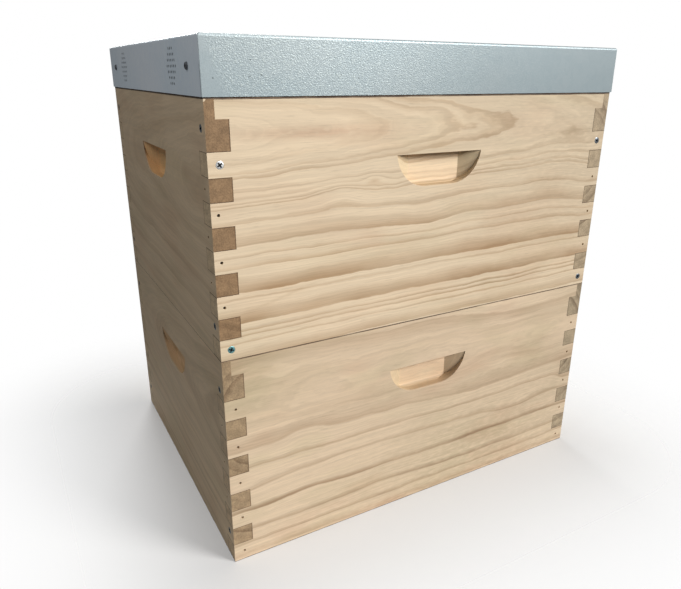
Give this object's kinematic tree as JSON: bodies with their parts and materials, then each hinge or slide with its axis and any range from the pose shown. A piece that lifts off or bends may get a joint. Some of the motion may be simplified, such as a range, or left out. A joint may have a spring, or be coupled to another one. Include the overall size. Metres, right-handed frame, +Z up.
{
  "type": "beehive",
  "caption": "Stacked Langstroth beehive of finger-jointed pine boxes with carved handholds, movable comb frames inside and a flat metal-clad lid with end vents.",
  "frame": {"origin": "on the ground at the middle of the footprint", "axes": "+X along the long side panels, -Y out of the front panel, +Z up through the boxes and the lid"},
  "size_m": [0.5142, 0.4086, 0.5416],
  "materials": {
    "box_pine": "planed and unfinished, warm pale pine with visible growth rings",
    "lid_pine": "planed and unfinished",
    "frame_pine": "planed and unfinished, paler than the boxes",
    "hardboard": "smooth tempered board",
    "galvanised_sheet": "galvanised, matt blue-grey with a fine spangle",
    "zinc_screw": "bright zinc plated",
    "dark_steel": "dull dark steel",
    "foundation": "wax-coated plastic with an embossed comb pattern"
  },
  "bodies": {
    "lower_box": {"lower_front_panel": "box_pine", "lower_back_panel": "box_pine", "lower_left_end": "box_pine", "lower_right_end": "box_pine", "lower_box_screws": "zinc_screw", "lower_box_nails": "dark_steel"},
    "upper_box": {"upper_front_panel": "box_pine", "upper_back_panel": "box_pine", "upper_left_end": "box_pine", "upper_right_end": "box_pine", "upper_box_screws": "zinc_screw", "upper_box_nails": "dark_steel"},
    "lid": {"lid_rim_front": "lid_pine", "lid_rim_back": "lid_pine", "lid_rim_left": "lid_pine", "lid_rim_right": "lid_pine", "lid_board": "hardboard", "lid_cover": "galvanised_sheet", "lid_screws": "dark_steel", "lid_nails": "dark_steel"},
    "lower_frame_1": {"lower_frame_1_wood": "frame_pine", "lower_frame_1_foundation": "foundation"},
    "lower_frame_2": {"lower_frame_2_wood": "frame_pine", "lower_frame_2_foundation": "foundation"},
    "lower_frame_3": {"lower_frame_3_wood": "frame_pine", "lower_frame_3_foundation": "foundation"},
    "lower_frame_4": {"lower_frame_4_wood": "frame_pine", "lower_frame_4_foundation": "foundation"},
    "lower_frame_5": {"lower_frame_5_wood": "frame_pine", "lower_frame_5_foundation": "foundation"},
    "lower_frame_6": {"lower_frame_6_wood": "frame_pine", "lower_frame_6_foundation": "foundation"},
    "lower_frame_7": {"lower_frame_7_wood": "frame_pine", "lower_frame_7_foundation": "foundation"},
    "lower_frame_8": {"lower_frame_8_wood": "frame_pine", "lower_frame_8_foundation": "foundation"},
    "lower_frame_9": {"lower_frame_9_wood": "frame_pine", "lower_frame_9_foundation": "foundation"},
    "lower_frame_10": {"lower_frame_10_wood": "frame_pine", "lower_frame_10_foundation": "foundation"},
    "upper_frame_1": {"upper_frame_1_wood": "frame_pine", "upper_frame_1_foundation": "foundation"},
    "upper_frame_2": {"upper_frame_2_wood": "frame_pine", "upper_frame_2_foundation": "foundation"},
    "upper_frame_3": {"upper_frame_3_wood": "frame_pine", "upper_frame_3_foundation": "foundation"},
    "upper_frame_4": {"upper_frame_4_wood": "frame_pine", "upper_frame_4_foundation": "foundation"},
    "upper_frame_5": {"upper_frame_5_wood": "frame_pine", "upper_frame_5_foundation": "foundation"},
    "upper_frame_6": {"upper_frame_6_wood": "frame_pine", "upper_frame_6_foundation": "foundation"},
    "upper_frame_7": {"upper_frame_7_wood": "frame_pine", "upper_frame_7_foundation": "foundation"},
    "upper_frame_8": {"upper_frame_8_wood": "frame_pine", "upper_frame_8_foundation": "foundation"},
    "upper_frame_9": {"upper_frame_9_wood": "frame_pine", "upper_frame_9_foundation": "foundation"},
    "upper_frame_10": {"upper_frame_10_wood": "frame_pine", "upper_frame_10_foundation": "foundation"}
  },
  "joints": [
    {"name": "box_lift", "type": "slide", "parent": "lower_box", "child": "upper_box", "axis": [0, 0, 1], "range_m": [0, 0.3]},
    {"name": "lid_lift", "type": "slide", "parent": "upper_box", "child": "lid", "axis": [0, 0, 1], "range_m": [0, 0.25]},
    {"name": "lower_frame_1_lift", "type": "slide", "parent": "lower_box", "child": "lower_frame_1", "axis": [0, 0, 1], "range_m": [0, 0.0065]},
    {"name": "lower_frame_2_lift", "type": "slide", "parent": "lower_box", "child": "lower_frame_2", "axis": [0, 0, 1], "range_m": [0, 0.0065]},
    {"name": "lower_frame_3_lift", "type": "slide", "parent": "lower_box", "child": "lower_frame_3", "axis": [0, 0, 1], "range_m": [0, 0.0065]},
    {"name": "lower_frame_4_lift", "type": "slide", "parent": "lower_box", "child": "lower_frame_4", "axis": [0, 0, 1], "range_m": [0, 0.0065]},
    {"name": "lower_frame_5_lift", "type": "slide", "parent": "lower_box", "child": "lower_frame_5", "axis": [0, 0, 1], "range_m": [0, 0.0065]},
    {"name": "lower_frame_6_lift", "type": "slide", "parent": "lower_box", "child": "lower_frame_6", "axis": [0, 0, 1], "range_m": [0, 0.0065]},
    {"name": "lower_frame_7_lift", "type": "slide", "parent": "lower_box", "child": "lower_frame_7", "axis": [0, 0, 1], "range_m": [0, 0.0065]},
    {"name": "lower_frame_8_lift", "type": "slide", "parent": "lower_box", "child": "lower_frame_8", "axis": [0, 0, 1], "range_m": [0, 0.0065]},
    {"name": "lower_frame_9_lift", "type": "slide", "parent": "lower_box", "child": "lower_frame_9", "axis": [0, 0, 1], "range_m": [0, 0.0065]},
    {"name": "lower_frame_10_lift", "type": "slide", "parent": "lower_box", "child": "lower_frame_10", "axis": [0, 0, 1], "range_m": [0, 0.0065]},
    {"name": "upper_frame_1_lift", "type": "slide", "parent": "upper_box", "child": "upper_frame_1", "axis": [0, 0, 1], "range_m": [0, 0.0065]},
    {"name": "upper_frame_2_lift", "type": "slide", "parent": "upper_box", "child": "upper_frame_2", "axis": [0, 0, 1], "range_m": [0, 0.0065]},
    {"name": "upper_frame_3_lift", "type": "slide", "parent": "upper_box", "child": "upper_frame_3", "axis": [0, 0, 1], "range_m": [0, 0.0065]},
    {"name": "upper_frame_4_lift", "type": "slide", "parent": "upper_box", "child": "upper_frame_4", "axis": [0, 0, 1], "range_m": [0, 0.0065]},
    {"name": "upper_frame_5_lift", "type": "slide", "parent": "upper_box", "child": "upper_frame_5", "axis": [0, 0, 1], "range_m": [0, 0.0065]},
    {"name": "upper_frame_6_lift", "type": "slide", "parent": "upper_box", "child": "upper_frame_6", "axis": [0, 0, 1], "range_m": [0, 0.0065]},
    {"name": "upper_frame_7_lift", "type": "slide", "parent": "upper_box", "child": "upper_frame_7", "axis": [0, 0, 1], "range_m": [0, 0.0065]},
    {"name": "upper_frame_8_lift", "type": "slide", "parent": "upper_box", "child": "upper_frame_8", "axis": [0, 0, 1], "range_m": [0, 0.0065]},
    {"name": "upper_frame_9_lift", "type": "slide", "parent": "upper_box", "child": "upper_frame_9", "axis": [0, 0, 1], "range_m": [0, 0.0065]},
    {"name": "upper_frame_10_lift", "type": "slide", "parent": "upper_box", "child": "upper_frame_10", "axis": [0, 0, 1], "range_m": [0, 0.0065]}
  ]
}
